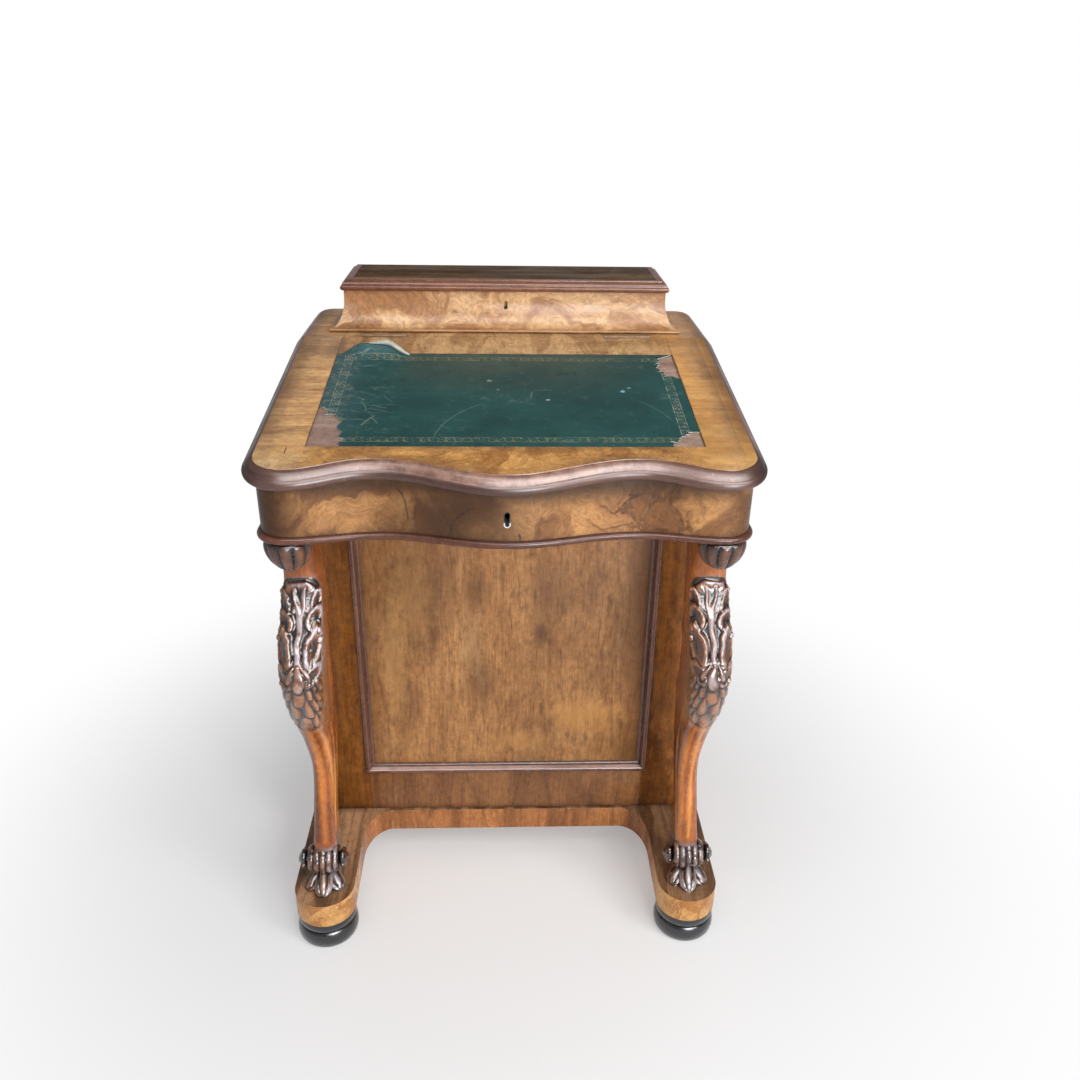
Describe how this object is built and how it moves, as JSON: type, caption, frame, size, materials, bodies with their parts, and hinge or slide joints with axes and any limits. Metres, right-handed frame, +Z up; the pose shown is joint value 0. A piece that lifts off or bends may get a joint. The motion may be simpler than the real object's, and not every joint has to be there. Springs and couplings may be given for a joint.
{
  "type": "davenport desk",
  "caption": "Walnut davenport desk: serpentine sloping lid with leather, stationery box, carved front supports, platform base and side drawers.",
  "frame": {"origin": "on the floor, under the middle of the desk", "axes": "+Z up, +X to the sitter's right where the drawers open, -Y out of the front towards the sitter"},
  "size_m": [0.577, 0.55, 0.8205],
  "materials": {
    "walnut": "waxed",
    "panel_walnut": "waxed",
    "carved_walnut": "gloss",
    "moulding": "gloss",
    "burr_walnut": "gloss",
    "lining": "matt",
    "ebonised": "satin",
    "leather": "satin",
    "brass": "aged",
    "steel": "satin"
  },
  "bodies": {
    "desk": {"bun_feet": "ebonised", "plinth_board": "walnut", "plinth_arm_left": "walnut", "plinth_arm_right": "walnut", "front_stiles": "walnut", "front_rails": "walnut", "front_panel": "panel_walnut", "front_panel_moulding": "moulding", "back_stiles": "walnut", "back_rails": "walnut", "back_panel": "panel_walnut", "back_panel_moulding": "moulding", "left_side": "walnut", "dummy_fronts": "burr_walnut", "dummy_knobs": "walnut", "right_posts": "walnut", "drawer_rails": "walnut", "drawer_runners": "lining", "leg_left": "carved_walnut", "leg_right": "carved_walnut", "bosses": "carved_walnut", "frieze": "burr_walnut", "frieze_bead": "moulding", "cheek_left": "walnut", "cheek_right": "walnut", "slope_back": "walnut", "slope_bottom": "lining", "inner_case": "walnut", "shelf": "burr_walnut", "shelf_moulding": "moulding", "stationery_front": "burr_walnut", "stationery_sides": "burr_walnut", "stationery_back": "walnut", "stationery_dividers": "lining", "lid_hinge_shelf_leaves": "brass", "stationery_hinge_box_leaves": "brass", "frieze_lock": "brass", "frieze_keyhole_liner": "brass", "stationery_lock": "brass"},
    "writing_lid": {"lid_board": "burr_walnut", "lid_moulding": "moulding", "lid_leather": "leather", "lid_hinge_lid_leaves": "brass", "lid_link_plate": "brass"},
    "stationery_box_lid": {"stationery_lid": "walnut", "stationery_lid_moulding": "moulding", "stationery_hinge_lid_leaves": "brass", "stationery_link_plate": "brass"},
    "drawer_1": {"drawer_1_front": "burr_walnut", "drawer_1_box": "lining"},
    "drawer_2": {"drawer_2_front": "burr_walnut", "drawer_2_box": "lining"},
    "drawer_3": {"drawer_3_front": "burr_walnut", "drawer_3_box": "lining"},
    "drawer_4": {"drawer_4_front": "burr_walnut", "drawer_4_box": "lining"},
    "inner_drawer_left": {"inner_drawer_left": "lining"},
    "inner_drawer_right": {"inner_drawer_right": "lining"},
    "frieze_bolt": {"frieze_lock_bolt": "steel"},
    "stationery_bolt": {"stationery_lock_bolt": "steel"}
  },
  "joints": [
    {"name": "writing_lid_hinge", "type": "hinge", "parent": "desk", "child": "writing_lid", "pos_m": [0, 0.105, 0.7555], "axis": [-1, 0, 0], "range_deg": [0, 100]},
    {"name": "stationery_lid_hinge", "type": "hinge", "parent": "desk", "child": "stationery_box_lid", "pos_m": [0, 0.2526, 0.8065], "axis": [-1, 0, 0], "range_deg": [0, 95]},
    {"name": "drawer_1_slide", "type": "slide", "parent": "desk", "child": "drawer_1", "axis": [1, 0, 0], "range_m": [0, 0.3]},
    {"name": "drawer_2_slide", "type": "slide", "parent": "desk", "child": "drawer_2", "axis": [1, 0, 0], "range_m": [0, 0.3]},
    {"name": "drawer_3_slide", "type": "slide", "parent": "desk", "child": "drawer_3", "axis": [1, 0, 0], "range_m": [0, 0.3]},
    {"name": "drawer_4_slide", "type": "slide", "parent": "desk", "child": "drawer_4", "axis": [1, 0, 0], "range_m": [0, 0.3]},
    {"name": "inner_drawer_left_slide", "type": "slide", "parent": "desk", "child": "inner_drawer_left", "axis": [0, -1, 0], "range_m": [0, 0.09]},
    {"name": "inner_drawer_right_slide", "type": "slide", "parent": "desk", "child": "inner_drawer_right", "axis": [0, -1, 0], "range_m": [0, 0.09]},
    {"name": "frieze_bolt_slide", "type": "slide", "parent": "desk", "child": "frieze_bolt", "axis": [-1, 0, 0], "range_m": [0, 0.006]},
    {"name": "stationery_bolt_slide", "type": "slide", "parent": "desk", "child": "stationery_bolt", "axis": [-1, 0, 0], "range_m": [0, 0.006]}
  ]
}
